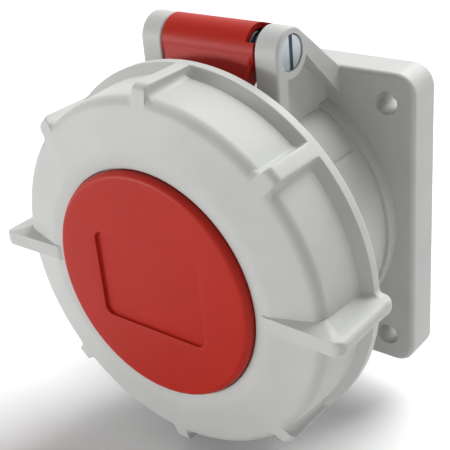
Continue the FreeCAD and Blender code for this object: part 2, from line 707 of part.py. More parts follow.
def make_contact(label, angle, bore):
    """A turned brass contact: a slit sleeve in front and a terminal barrel behind."""
    body = new_body(label)
    outside = bore + s.sleeve_wall
    tip = carrier_front - s.carrier_lip - s.sleeve_gap
    barrel_back = block_back - s.terminal_wall - s.sleeve_gap
    profile = new_sketch(body, "profile", "XY_Plane")
    clip_front = tip - s.clip_place
    clip_rear = clip_front - s.clip_width
    outline(profile, [
        (bore, -tip),
        (outside, -tip),
        (outside, -clip_front),
        (outside - s.clip_depth, -clip_front),
        (outside - s.clip_depth, -clip_rear),
        (outside, -clip_rear),
        (outside, -(s.barrel_front - s.sleeve_gap)),
        (s.barrel_radius, -(s.barrel_front - s.sleeve_gap)),
        (s.barrel_radius, barrel_back),
        (s.wire_bore, barrel_back),
        (s.wire_bore, s.wire_stop),
        (middle, s.wire_stop),
        (middle, -s.pin_stop),
        (bore, -s.pin_stop),
    ])
    turned(body, "turning", profile)
    slit = new_sketch(body, "slit_outline", "XY_Plane")
    rectangle(slit, -s.slit_width / 2, s.slit_width / 2, -(tip + s.sleeve_wall), -(tip - s.slit_length))
    pocket(body, "slit", slit, Midplane=True)
    thread = s.terminal_screw + s.pin_clearance
    round_hole(body, "screw_thread", "YZ_Plane", middle, screw_place, middle, thread, Reversed=True)
    on_radius(body, angle, s.contact_circle)
    return body


def make_contact_clip(label, angle, bore):
    """The open spring ring that presses a slit sleeve together."""
    body = new_body(label)
    outside = bore + s.sleeve_wall
    clip_front = carrier_front - s.carrier_lip - s.sleeve_gap - s.clip_place
    profile = new_sketch(body, "profile", "XY_Plane")
    rectangle(
        profile, outside - s.clip_depth + s.pin_clearance, outside + s.clip_stand,
        -(clip_front - s.pin_clearance), -(clip_front - s.clip_width + s.pin_clearance),
    )
    turned(body, "ring", profile, angle=s.clip_angle)
    on_radius(body, angle, s.contact_circle)
    return body


def make_terminal_screw(label, angle):
    """The grub screw that clamps a wire in its terminal, driven from the block's side."""
    body = new_body(label)
    round_pad(body, "shank", "YZ_Plane", s.wire_bore, screw_place, middle, s.terminal_screw, s.grub_length)
    slot = new_sketch(body, "slot_outline", "YZ_Plane", s.wire_bore + s.grub_length)
    half_slot = s.slit_width / 2
    rectangle(slot, screw_place - s.terminal_screw, screw_place + s.terminal_screw, -half_slot, half_slot)
    pocket(body, "slot", slot, s.slit_width)
    on_radius(body, angle, s.contact_circle)
    return body


def headed_screw(body, name, head_place, across, up, bite):
    """A cross-slotted screw along Y whose head bears at head_place and looks to the rear."""
    shank = round_pad(body, name + "_shank", "XZ_Plane", -head_place, across, up, s.carrier_screw, bite)
    head_top = head_place + s.screw_head_height
    head = round_pad(
        body, name + "_head", "XZ_Plane", -head_top, across, up, s.screw_head_radius, s.screw_head_height,
    )
    slot = new_sketch(body, name + "_slot_outline", "XZ_Plane", -head_top)
    half_slot = s.slit_width / 2
    left = across - s.screw_head_radius
    right = across + s.screw_head_radius
    rectangle(slot, left, right, up - half_slot, up + half_slot)
    cut = pocket(body, name + "_slot", slot, s.slit_width, Reversed=True)
    return [shank, head, cut]


def make_carrier_screws():
    """Four equal screws that hold the carrier in the housing."""
    body = new_body("carrier_screws")
    body.AllowCompound = True
    across = screw_circle * cosine(s.screw_turn)
    up = screw_circle * sine(s.screw_turn)
    bite = carrier_flange_front - s.terminal_front + s.seal_thickness + s.screw_bite
    features = headed_screw(body, "screw", -s.terminal_front, across, up, bite)
    around(body, "four_screws", features, 4)
    return body


def make_block_screw():
    """The screw that holds the terminal block to the carrier."""
    body = new_body("block_screw")
    seat = block_back - s.screw_head_height - s.fit_gap
    bite = seat + s.terminal_front + s.screw_bite * 2 - s.screw_end_gap
    headed_screw(body, "screw", seat, middle, middle, bite)
    return body


def make_lid_body():
    """The red lid: plate, hub, tongue, arm and hinge barrel, moulded in one."""
    body = new_body("lid_body")
    # The tongue runs back over the collar inside the ring, then the arm climbs to the barrel.
    arm_side = new_sketch(body, "arm_outline", "YZ_Plane")
    outline(arm_side, [
        (lug_front, pin_z),
        (lug_front - s.arm_lean, tongue_top),
        (-(plate_front - s.tongue_thickness / 2), tongue_top),
        (-(plate_front - s.tongue_thickness / 2), tongue_low),
        (lug_front - s.arm_lean + s.arm_thickness, tongue_low),
        (pin_y, pin_z - s.pin_radius),
    ])
    pad(body, "arm", arm_side, barrel_end * 2, Midplane=True)
    flank = new_sketch(body, "arm_flank_outline", "XZ_Plane")
    outline(flank, [
        (barrel_end, pin_z),
        (s.tongue_half_width, tongue_top + s.arm_taper_start),
        (s.tongue_half_width, collar_radius),
        (lug_outer, collar_radius),
        (lug_outer, pin_z),
    ])
    right_flank = pocket(body, "right_arm_flank", flank, Midplane=True)
    arm = mirrored(body, "left_arm_flank", [right_flank])
    above_the_tongue = float(tongue_top) - touching
    front_sides = edges_where(
        arm.Shape,
        lambda p: p.z > above_the_tongue and p.y < float(lug_front) + touching
        and abs(p.x) > float(s.tongue_half_width) - touching,
    )
    dress(body, "Fillet", "arm_edges", arm, front_sides, Radius=s.arm_edge)

    # The plate carries the seal in a groove, and its hollow hub carries the ring.
    hollow_front = hub_front - s.lid_plate
    seal_in = collar_middle - s.seal_radial / 2
    seal_out = collar_middle + s.seal_radial / 2
    profile = new_sketch(body, "profile", "XY_Plane")
    outline(profile, [
        (middle, -hollow_front),
        (middle, -hub_front),
        (hub_radius, -hub_front),
        (hub_radius, -plate_front),
        (lid_radius, -plate_front),
        (lid_radius, -plate_rear),
        (seal_out, -plate_rear),
        (seal_out, -(plate_rear + s.seal_groove)),
        (seal_in, -(plate_rear + s.seal_groove)),
        (seal_in, -plate_rear),
        (hub_radius - s.lid_plate, -plate_rear),
        (hub_radius - s.lid_plate, -hollow_front),
    ])
    turned(body, "plate_and_hub", profile)

    barrel = new_sketch(body, "barrel_circle", "YZ_Plane")
    circle(barrel, pin_y, pin_z, s.boss_radius)
    pad(body, "barrel", barrel, barrel_end * 2, Midplane=True)

    # The closing spring sits in the barrel's right end and shows through a window.
    round_hole(
        body, "spring_pocket", "YZ_Plane", barrel_end, pin_y, pin_z, s.spring_pocket_radius, s.spring_pocket,
    )
    leg_slot = new_sketch(body, "leg_slot_outline", "YZ_Plane", barrel_end)
    rectangle(leg_slot, leg_front, leg_back, pin_z, pin_z + leg_reach)
    pocket(body, "leg_slot", leg_slot, s.spring_pocket)
    window = new_sketch(body, "window_outline", "YZ_Plane", barrel_end)
    far = s.boss_radius * 2
    outline(window, [
        (pin_y, pin_z),
        (pin_y + far * cosine(s.window_rear), pin_z + far * sine(s.window_rear)),
        (pin_y - far, pin_z + far),
        (pin_y - far * cosine(s.window_front), pin_z + far * sine(s.window_front)),
    ])
    pocket(body, "window", window, s.spring_window)
    round_hole(body, "pin_bore", "YZ_Plane", barrel_end, pin_y, pin_z, s.pin_radius + s.pin_clearance)
    round_hole(
        body, "spigot_hole", "XZ_Plane", hub_front, middle, middle, s.spigot_radius + s.pin_clearance,
        s.spigot_length + s.fit_gap,
    )
    return body


def make_lid_disc():
    """The blank disc in front, which also keeps the ring on the lid."""
    body = new_body("lid_disc")
    rear = hub_front
    front = rear + s.disc_thickness
    profile = new_sketch(body, "profile", "XY_Plane")
    outline(profile, [
        (middle, -(rear - s.spigot_length)),
        (middle, -front),
        (disc_radius, -front),
        (disc_radius, -rear),
        (s.spigot_radius, -rear),
        (s.spigot_radius, -(rear - s.spigot_length)),
    ])
    turned(body, "disc", profile)
    edge = edges_where(body.Shape, lambda p: near(p.y, -float(front)))
    dress(body, "Fillet", "soft_edge", body.Tip, edge, Radius=s.disc_edge)
    field = new_sketch(body, "field_outline", "XZ_Plane", front)
    across = s.field_width / 2
    up = s.field_height / 2
    rectangle(field, -across, across, -up, up)
    pocket(body, "field", field, s.field_depth)
    corners = edges_where(
        body.Shape, lambda p: near(abs(p.x), float(across)) and near(abs(p.z), float(up)),
    )
    dress(body, "Fillet", "field_corners", body.Tip, corners, Radius=s.field_corner)
    return body


def make_lid_seal():
    """The rubber ring in the lid that meets the collar's edge."""
    body = new_body("lid_seal")
    groove = plate_rear + s.seal_groove
    reach = s.seal_radial / 2 - s.sleeve_gap / 2
    profile = new_sketch(body, "profile", "XY_Plane")
    rectangle(profile, collar_middle - reach, collar_middle + reach, -groove, -(s.collar_depth + s.seal_gap))
    turned(body, "seal", profile)
    edge = edges_where(body.Shape, lambda p: near(p.y, -float(s.collar_depth + s.seal_gap)))
    dress(body, "Fillet", "soft_edges", body.Tip, edge, Radius=s.carrier_soft_edge)
    return body


def make_locking_ring():
    """The moulded ring: rim, conical wall, soft shoulder, grip ribs, wings and catches."""
    body = new_body("locking_ring")
    rim_front = ring_rear + s.rim_thickness
    profile = new_sketch(body, "profile", "XY_Plane")
    outline(profile, [
        (hub_radius + s.hub_clearance, -inner_face),
        (hub_radius + s.hub_clearance, -(ring_face - s.disc_seat)),
        (disc_radius + s.fit_gap, -(ring_face - s.disc_seat)),
        (disc_radius + s.fit_gap, -ring_face),
        (shoulder_radius, -face_crest),
        (wall_radius, -rim_front),
        (rim_radius, -rim_front),
        (rim_radius, -ring_rear),
        (wall_radius - s.ring_wall, -ring_rear),
        (shoulder_radius - s.ring_wall, -inner_face),
    ])
    turned(body, "shell", profile)
    crest = edges_where(body.Shape, lambda p: near(p.y, -float(face_crest)))
    dress(body, "Fillet", "shoulder", body.Tip, crest, Radius=s.shoulder_round)
    foot = edges_where(
        body.Shape, lambda p: near(p.y, -float(rim_front)) and near(math.hypot(p.x, p.z), float(wall_radius)),
    )
    dress(body, "Fillet", "wall_foot", body.Tip, foot, Radius=s.rib_foot)

    # A grip rib: its top runs level with the rim to a round nose, then slopes to the face.
    nose = face_crest - s.rib_lead
    bend = s.rib_round * s.nose_tangent
    slant = bend * s.half_diagonal
    wall_middle = wall_radius - s.ring_wall / 2
    rib_end = shoulder_radius - s.shoulder_round - s.rib_foot
    in_the_face = inner_face + s.ring_wall / 2
    in_the_wall = shoulder_radius - s.ring_wall / 2
    rib_side = new_sketch(body, "rib_outline", "YZ_Plane")
    outline(rib_side, [
        (-(ring_rear + s.fit_gap), wall_middle),
        (-(ring_rear + s.fit_gap), rim_radius),
        (-(nose - bend), rim_radius, -s.rib_round),
        (-(nose + slant), rim_radius - slant),
        (-face_crest, rim_radius - s.rib_lead),
        (-(face_crest - s.rib_sink), rib_end),
        (-in_the_face, rib_end),
        (-in_the_face, in_the_wall),
    ])
    rib = pad(body, "rib", rib_side, s.rib_width, Midplane=True)
    around(body, "ribs", [rib], 8)

    # A wing at each side runs from the disc's edge over the shoulder to the rim.
    wing_reach = rim_radius + s.wing_stand
    wing_front = ring_face + s.wing_rise
    wing_start = disc_radius + s.wing_inset
    wing_side = new_sketch(body, "wing_outline", "XY_Plane")
    outline(wing_side, [
        (wall_middle, -ring_rear),
        (wing_reach, -ring_rear),
        (wing_reach, -wing_front),
        (wing_start, -ring_face),
        (wing_start, -in_the_face),
        (in_the_wall, -in_the_face),
    ])
    wing = pad(body, "right_wing", wing_side, s.wing_thickness, Midplane=True)
    mirrored(body, "left_wing", [wing])
    reach = float(wing_reach)
    tips = edges_where(body.Shape, lambda p: near(abs(p.x), reach) and near(p.y, -float(wing_front)))
    dress(body, "Fillet", "wing_front_corners", body.Tip, tips, Radius=s.wing_round)
    heels = edges_where(body.Shape, lambda p: near(abs(p.x), reach) and near(p.y, -float(ring_rear)))
    dress(body, "Fillet", "wing_rear_corners", body.Tip, heels, Radius=s.wing_round)

    catch_profile = new_sketch(body, "catch_profile", "XY_Plane")
    open_turn = Rotation(Vector(0, 1, 0), -float(s.lock_turn))
    catch_profile.AttachmentOffset = Placement(Vector(0, 0, 0), open_turn)
    catch_profile.setExpression("AttachmentOffset.Rotation.Angle", s.lock_turn.text + " * 1 deg")
    catch_profile.setExpression("AttachmentOffset.Rotation.Axis.y", "-1")
    rectangle(catch_profile, collar_radius + s.catch_gap, in_the_wall, -catch_front, -catch_rear)
    catch = turned(body, "catch", catch_profile, angle=s.catch_angle, Midplane=True)
    around(body, "catches", [catch], 2)
    return body


def make_hinge_screw():
    """The slotted steel pin that the lid swings on."""
    body = new_body("hinge_screw")
    head_face = lug_outer - s.pin_recess
    head_seat = head_face - s.pin_head_height
    tip = lug_outer - s.pin_wall - s.fit_gap
    round_pad(body, "shank", "YZ_Plane", -tip, pin_y, pin_z, s.pin_radius, tip + head_seat)
    round_pad(body, "head", "YZ_Plane", head_seat, pin_y, pin_z, s.pin_head_radius, s.pin_head_height)
    edge = edges_where(body.Shape, lambda p: near(p.x, float(head_face)))
    dress(body, "Fillet", "head_edge", body.Tip, edge, Radius=s.pin_recess)
    point = edges_where(body.Shape, lambda p: near(p.x, -float(tip)))
    dress(body, "Chamfer", "tip_chamfer", body.Tip, point, Size=s.pin_recess * 2)
    slot = new_sketch(body, "slot_outline", "YZ_Plane", head_face)
    across = s.pin_slot / 2
    up = s.pin_head_radius + s.pin_slot
    rectangle(slot, pin_y - across, pin_y + across, pin_z - up, pin_z + up)
    pocket(body, "slot", slot, s.pin_slot)
    return body


def make_closing_spring():
    """The torsion spring round the pin, wound about its own Y and laid along the pin."""
    body = new_body("closing_spring")
    wire = s.spring_wire / 2
    coil_start = barrel_end - s.spring_pocket + wire + s.coil_gap
    coil_end = s.lug_inner + s.spring_seat - wire - s.coil_gap
    rise = coil_end - coil_start
    section = new_sketch(body, "wire_circle", "XY_Plane")
    circle(section, s.spring_radius, middle, wire)
    coil = body.newObject("PartDesign::AdditiveHelix", "closing_spring_coil")
    coil.Profile = section
    coil.ReferenceAxis = (section, ["V_Axis"])
    coil.Mode = "height-turns-angle"
    coil.Height = float(rise)
    coil.setExpression("Height", rise.text)
    coil.Turns = float(s.spring_turns)
    coil.setExpression("Turns", s.spring_turns.text)
    body.Tip = coil
    doc.recompute()
    round_pad(body, "inner_leg", "XY_Plane", middle, s.spring_radius, middle, wire, s.spring_leg)
    outer = new_sketch(body, "outer_leg_circle", "XY_Plane")
    circle(outer, s.spring_radius, rise, wire)
    pad(body, "outer_leg", outer, s.spring_leg, Reversed=True)
    coil_place = Vector(float(coil_start), float(pin_y), float(pin_z))
    body.Placement = Placement(coil_place, Rotation(Vector(0, 0, 1), -90))
    body.setExpression("Placement.Base.x", coil_start.text)
    body.setExpression("Placement.Base.y", pin_y.text)
    body.setExpression("Placement.Base.z", pin_z.text)
    return body


# The contacts stand at even steps, the earth contact lowest by the keyway.
contact_places = [
    ("l1", -162.0, s.live_bore),
    ("l2", 126.0, s.live_bore),
    ("l3", 54.0, s.live_bore),
    ("n", -18.0, s.live_bore),
    ("pe", -90.0, s.earth_bore),
]
sub_parts = [
    make_housing(),
    make_panel_gasket(),
    make_carrier_seal(),
    make_contact_carrier(),
    make_terminal_block(),
    make_carrier_screws(),
    make_block_screw(),
    make_lid_body(),
    make_lid_disc(),
    make_lid_seal(),
    make_locking_ring(),
    make_hinge_screw(),
    make_closing_spring(),
]
for letter, angle, bore in contact_places:
    sub_parts.append(make_contact("contact_" + letter, angle, bore))
    sub_parts.append(make_contact_clip("contact_clip_" + letter, angle, bore))
    sub_parts.append(make_terminal_screw("terminal_screw_" + letter, angle))

doc.recompute()
for part in doc.Objects:
    bad = {"Invalid", "Error"} & set(part.State)
    assert not bad, part.Name + " is in state " + str(part.State)
os.makedirs("parts", exist_ok=True)
for part in sub_parts:
    assert not part.Shape.isNull() and part.Shape.isValid(), part.Label + " has no sound shape"
    part.Shape.exportStep("parts/" + part.Label + ".step")
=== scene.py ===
import math

import bpy
import numpy as np
from mathutils import Matrix


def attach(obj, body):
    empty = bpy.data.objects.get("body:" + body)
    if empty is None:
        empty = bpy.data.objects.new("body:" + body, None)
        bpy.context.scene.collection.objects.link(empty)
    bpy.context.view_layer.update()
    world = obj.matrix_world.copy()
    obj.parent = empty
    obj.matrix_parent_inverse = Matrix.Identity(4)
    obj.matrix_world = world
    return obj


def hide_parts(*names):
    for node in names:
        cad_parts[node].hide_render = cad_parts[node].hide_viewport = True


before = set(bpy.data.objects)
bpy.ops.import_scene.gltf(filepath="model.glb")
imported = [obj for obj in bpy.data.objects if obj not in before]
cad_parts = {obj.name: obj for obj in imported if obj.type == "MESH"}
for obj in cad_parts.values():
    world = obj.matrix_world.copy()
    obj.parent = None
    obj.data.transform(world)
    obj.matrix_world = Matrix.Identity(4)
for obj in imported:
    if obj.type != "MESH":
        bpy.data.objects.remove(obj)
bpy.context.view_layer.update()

# Housing. One moulding of light grey plastic: the square flange, the collar with a plain
# raised plate on its side, and the two lugs that hold the lid's hinge. Its surface is satin,
# with the fine grain of the mould.

MOTTLE = {"scale": 90.0, "detail": 3.0, "darkest_at": 0.3, "lightest_at": 0.7}
GRAIN = {"detail": 2.0, "gloss_swing": 0.12, "bump_strength": 0.35}


class Shade:
    """A shader socket that arithmetic can be written on; each sum adds one Math node."""

    def __init__(self, tree, socket):
        self.tree = tree
        self.socket = socket

    def math(self, operation, first, second):
        inputs = {0: first, 1: second}
        return node(self.tree, "ShaderNodeMath", {"operation": operation}, inputs)["Value"]

    def __add__(self, other):
        return self.math("ADD", self, other)

    def __radd__(self, other):
        return self.math("ADD", other, self)

    def __sub__(self, other):
        return self.math("SUBTRACT", self, other)

    def __rsub__(self, other):
        return self.math("SUBTRACT", other, self)

    def __mul__(self, other):
        return self.math("MULTIPLY", self, other)

    def __rmul__(self, other):
        return self.math("MULTIPLY", other, self)


def node(tree, kind, settings, inputs):
    """Adds a node, sets its settings first and then the values or links of its inputs, and
    returns its outputs by name. A ramp's stops are given as pairs of place and colour."""
    made = tree.nodes.new(kind)
    for name, value in settings.items():
        if name == "stops":
            for stop, (position, colour) in zip(made.color_ramp.elements, value):
                stop.position = position
                stop.color = colour
        else:
            setattr(made, name, value)
    for name, value in inputs.items():
        if isinstance(value, Shade):
            tree.links.new(value.socket, made.inputs[name])
        else:
            made.inputs[name].default_value = value
    return {socket.name: Shade(tree, socket) for socket in made.outputs if socket.enabled}


def finish(name, colour, roughness, grain, depth, mottle=0.03, metallic=0.0, specular=0.5):
    """A solid finish: colour with a faint broad mottle, and a fine grain in gloss and bump.
    grain is the size of the grain in metres and depth its height; mottle is the share by
    which the colour wanders."""
    material = bpy.data.materials.new(name)
    material.use_nodes = True
    tree = material.node_tree
    tree.nodes.clear()
    place = node(tree, "ShaderNodeTexCoord", {}, {})["Object"]
    broad = node(
        tree, "ShaderNodeTexNoise", {},
        {"Vector": place, "Scale": MOTTLE["scale"], "Detail": MOTTLE["detail"]},
    )
    fine = node(
        tree, "ShaderNodeTexNoise", {},
        {"Vector": place, "Scale": 1.0 / grain, "Detail": GRAIN["detail"]},
    )
    darker = tuple(c * (1 - mottle) for c in colour) + (1.0,)
    lighter = tuple(min(1.0, c * (1 + mottle)) for c in colour) + (1.0,)
    stops = ((MOTTLE["darkest_at"], darker), (MOTTLE["lightest_at"], lighter))
    wander = node(tree, "ShaderNodeValToRGB", {"stops": stops}, {"Fac": broad["Fac"]})
    gloss = roughness + (fine["Fac"] - 0.5) * GRAIN["gloss_swing"]
    relief = node(
        tree, "ShaderNodeBump", {},
        {"Strength": GRAIN["bump_strength"], "Distance": depth, "Height": fine["Fac"]},
    )
    surface = node(
        tree, "ShaderNodeBsdfPrincipled", {},
        {
            "Base Color": wander["Color"],
            "Roughness": gloss,
            "Metallic": metallic,
            "Specular IOR Level": specular,
            "Normal": relief["Normal"],
        },
    )
    node(tree, "ShaderNodeOutputMaterial", {}, {"Surface": surface["BSDF"]})
    return material


def dress(names, material):
    """Give the CAD nodes their finish."""
    for name in names:
        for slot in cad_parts[name].material_slots:
            slot.material = material


pale_grey = finish(
    "pale_grey_moulding", (0.52, 0.53, 0.515),
    roughness=0.50, grain=0.0005, depth=0.00003, specular=0.25,
)
dress(["housing"], pale_grey)

# Contacts. Five turned brass sleeves on a circle, the earth contact larger and lowest. Each
# is slit at its mouth, and an open ring of plated steel round the slit keeps its grip.

CONTACTS = ("l1", "l2", "l3", "n", "pe")
turned_brass = finish(
    "turned_brass", (0.70, 0.50, 0.22),
    roughness=0.28, grain=0.0009, depth=0.00002, mottle=0.05, metallic=1.0,
)
plated_steel = finish(
    "plated_steel", (0.42, 0.46, 0.49),
    roughness=0.33, grain=0.0009, depth=0.00002, mottle=0.06, metallic=1.0,
)
dress(["contact_" + contact for contact in CONTACTS], turned_brass)
dress(["contact_clip_" + contact for contact in CONTACTS], plated_steel)

# Contact carrier and terminal block. Two black insulating mouldings with a dry, even surface:
# the carrier holds the contacts and is screwed in from behind, and the block behind it takes
# the wires. Plated steel screws fix both and clamp the wires.

black_insulator = finish(
    "black_insulator", (0.030, 0.030, 0.033),
    roughness=0.5, grain=0.0007, depth=0.00004, mottle=0.08,
)
dress(["contact_carrier", "terminal_block"], black_insulator)
dress(["carrier_screws", "block_screw"], plated_steel)
dress(["terminal_screw_" + contact for contact in CONTACTS], plated_steel)

# Seals. Black rubber with the moulding's fine grain: the flat gasket in the back of the
# flange, the seal under the carrier, and the ring in the lid that meets the collar's edge.
# The flange screws, the carrier's screws and the locking ring squeeze them.

black_rubber = finish(
    "black_rubber", (0.022, 0.022, 0.023), roughness=0.62, grain=0.0006, depth=0.00004,
)
dress(["panel_gasket", "carrier_seal", "lid_seal"], black_rubber)

# Lid body. A red moulding in one piece: the plate and hub inside the locking ring, and the
# arm with the barrel that turns on the hinge screw. It is as satin as the housing.

signal_red = finish(
    "signal_red_moulding", (0.40, 0.014, 0.006),
    roughness=0.45, grain=0.0005, depth=0.00003, specular=0.2,
)
dress(["lid_body"], signal_red)

# Locking ring. One light grey moulding: a rim with a conical front, a nearly straight wall, a
# rounded shoulder and a slightly conical face with a hole for the lid's hub. Six grip ribs and
# two wings grow out of the wall, and two bayonet catches stand inside.

RING = {
    "hub": 24.1, "seat": 27.4, "seat_floor": -56.5, "face": -57.3, "face_edge": (31.0, -57.38),
    "crest": (42.25, -54.85), "foot": (43.0, -42.0),
    "rim": 45.2, "rim_front": -40.2, "rim_rear": -37.8, "rim_break": 0.3,
    "inner_wall": 39.1, "inner_crest": 37.8, "inner_face": -54.9,
    "wing": 48.5, "wing_front": -58.25, "wing_step": (29.9, -57.75), "step_foot": (29.1, -57.35),
}
ROUND = {
    "seat": 0.1, "edge": 0.25, "shoulder": 3.0, "rim": 0.25, "rim_rear": 0.45, "nose": 1.9,
    "tip": 2.4, "heel": 1.8, "inner_rear": 0.3, "inner": 1.0, "hub": 0.2,
}
RIB = {"half_width": 1.8, "top_round": 0.45, "foot": 1.1, "height": 2.5}
WING_FRONT = {"half_width": 1.75, "top_round": 0.25, "foot": 1.5, "height": 5.8}
WING_SIDE = {"half_width": 1.7, "top_round": 1.3, "foot": 1.2, "height": 5.8}
RIBS_AND_WINGS = 8
WING_EVERY = 4
CATCH = {
    "inner": 35.0, "outer": 39.4, "front": -42.1, "rear": -38.9, "round": 0.4,
    "half_angle": 10.0, "middles": (35.0, 215.0),
}


def run(start, end, count):
    """Points (r, y) at even steps from start towards end, the end left out."""
    share = np.arange(count)[:, None] / count
    return np.array(start, float) * (1 - share) + np.array(end, float) * share


def bend(before, corner, after, radius, count):
    """The round that is tangent to both sides of a corner: the angle between the two tangent
    directions, seen from the round's centre, is passed through in even steps."""
    corner = np.array(corner, float)
    a = np.array(before, float) - corner
    b = np.array(after, float) - corner
    a /= np.linalg.norm(a)
    b /= np.linalg.norm(b)
    half = math.acos(np.clip(a @ b, -1, 1)) / 2
    centre = corner + (a + b) / np.linalg.norm(a + b) * radius / math.sin(half)
    first = corner + a * radius / math.tan(half) - centre
    last = corner + b * radius / math.tan(half) - centre
    start = math.atan2(first[1], first[0])
    turn = (math.atan2(last[1], last[0]) - start + math.pi) % (2 * math.pi) - math.pi
    angle = start + turn * np.linspace(0, 1, count)
    return centre + radius * np.stack([np.cos(angle), np.sin(angle)], 1)


def ring_outline(kind):
    """The ring's section (r, y) as one closed line, for the plain wall, a rib or a wing. All
    three share the face's inner part and the rear, and have the same number of points, which
    is the last number of each run and bend, so that any two can be mixed point by point.
    Below the shoulder their points lie at equal y."""
    g = RING
    seat = (g["seat"], g["seat_floor"])
    edge = (g["seat"], g["face"])
    rim_front = (g["rim"], g["rim_front"])
    rim_rear = (g["rim"], g["rim_rear"])
    rear_join = (g["rim"] - ROUND["rim_rear"], g["rim_rear"])
    inner_rear = (g["inner_wall"], g["rim_rear"])
    inner_corner = (g["inner_crest"], g["inner_face"])
    hub_rear = (g["hub"], g["inner_face"])
    hub_front = (g["hub"], g["seat_floor"])
    seat_round = bend(hub_front, seat, edge, ROUND["seat"], 3)
    edge_round = bend(seat, edge, g["face_edge"], ROUND["edge"], 4)
    shoulder = bend(g["face_edge"], g["crest"], g["foot"], ROUND["shoulder"], 27)
    face = [run(edge_round[-1], g["face_edge"], 4), run(g["face_edge"], shoulder[0], 8)]
    low = shoulder[-1][1]
    foot_y = g["foot"][1]
    rim_rear_round = bend(rim_front, rim_rear, inner_rear, ROUND["rim_rear"], 5)
    if kind == "wall":
        rim_round = bend(g["foot"], rim_front, rim_rear, ROUND["rim"], 5)
        front = face + [
            shoulder[:-1], run(shoulder[-1], g["foot"], 14),
            run(g["foot"], rim_round[0], 5), rim_round[:-1],
            run(rim_round[-1], rim_rear_round[0], 6), rim_rear_round[:-1],
        ]
    elif kind == "rib":
        face_edge = np.array(g["face_edge"])
        slope = (shoulder[0] - face_edge) / (shoulder[0][0] - face_edge[0])
        nose = face_edge + slope * (g["rim"] - face_edge[0])
        nose_round = bend(face_edge, nose, rim_front, ROUND["nose"], 12)
        rim_break = (g["rim"], g["rim_front"] + g["rim_break"])
        front = face + [
            run(shoulder[0], nose_round[0], 12), nose_round[:-1],
            run(nose_round[-1], (g["rim"], low), 3), run((g["rim"], low), (g["rim"], foot_y), 14),
            run((g["rim"], foot_y), rim_front, 5), run(rim_front, rim_break, 4),
            run(rim_break, rim_rear_round[0], 6), rim_rear_round[:-1],
        ]
    else:
        step = np.array(g["wing_step"])
        tip = (g["wing"], g["wing_front"])
        heel = (g["wing"], g["rim_rear"])
        tip_round = bend(step, tip, heel, ROUND["tip"], 12)
        slope = (tip_round[0] - step) / (tip_round[0][0] - step[0])
        middle = step + slope * (shoulder[0][0] - step[0])
        heel_round = bend(tip, heel, inner_rear, ROUND["heel"], 6)
        front = [
            run(edge_round[-1], g["step_foot"], 2), run(g["step_foot"], step, 2),
            run(step, middle, 8), run(middle, tip_round[0], 12), tip_round[:-1],
            run(tip_round[-1], (g["wing"], low), 3),
            run((g["wing"], low), (g["wing"], foot_y), 14),
            run((g["wing"], foot_y), (g["wing"], g["rim_front"]), 5),
            run((g["wing"], g["rim_front"]), heel_round[0], 4), heel_round[:-1],
            run(heel_round[-1], rear_join, 5),
        ]
    inner_rear_round = bend(rim_rear, inner_rear, inner_corner, ROUND["inner_rear"], 4)
    inner_round = bend(inner_rear, inner_corner, hub_rear, ROUND["inner"], 4)
    hub_rear_round = bend(inner_corner, hub_rear, hub_front, ROUND["hub"], 3)
    hub_front_round = bend(hub_rear, hub_front, seat, ROUND["hub"], 3)
    back = [
        run(rear_join, inner_rear_round[0], 4), inner_rear_round[:-1],
        run(inner_rear_round[-1], inner_round[0], 5), inner_round[:-1],
        run(inner_round[-1], hub_rear_round[0], 3), hub_rear_round[:-1],
        run(hub_rear_round[-1], hub_front_round[0], 2), hub_front_round[:-1],
        run(hub_front_round[-1], seat_round[0], 2),
    ]
    start = [seat_round[:-1], run(seat_round[-1], edge_round[0], 3), edge_round[:-1]]
    return np.concatenate(start + front + back)


def flank(half_width, top_round, foot, height):
    """One side of a rib's cross-section as (offset from its middle, share of its height):
    a flat top, a quarter round, a straight side, and a hollow foot on a parabola whose middle
    control point lies low beside the side, so that it meets the wall in a faint crease."""
    over = np.radians(np.linspace(90, 0, 6))
    top_offset = half_width - top_round * (1 - np.cos(over))
    top_share = 1 - top_round * (1 - np.sin(over)) / height
    side = [half_width + 0.05, 0.5]
    hollow = [half_width + 0.12, 0.17]
    wall = [half_width + foot, 0.0]
    t = np.linspace(0, 1, 9)[:, None]
    parabola = (1 - t) ** 2 * side + 2 * t * (1 - t) * hollow + t ** 2 * wall
    flat = np.array([[half_width * 0.35, 1.0]])
    return np.concatenate([flat, np.stack([top_offset, top_share], 1), parabola])


def bump(row, middle, width):
    """A smooth hill of height 1 over the row number."""
    return np.exp(-(((row - middle) / width) ** 2))


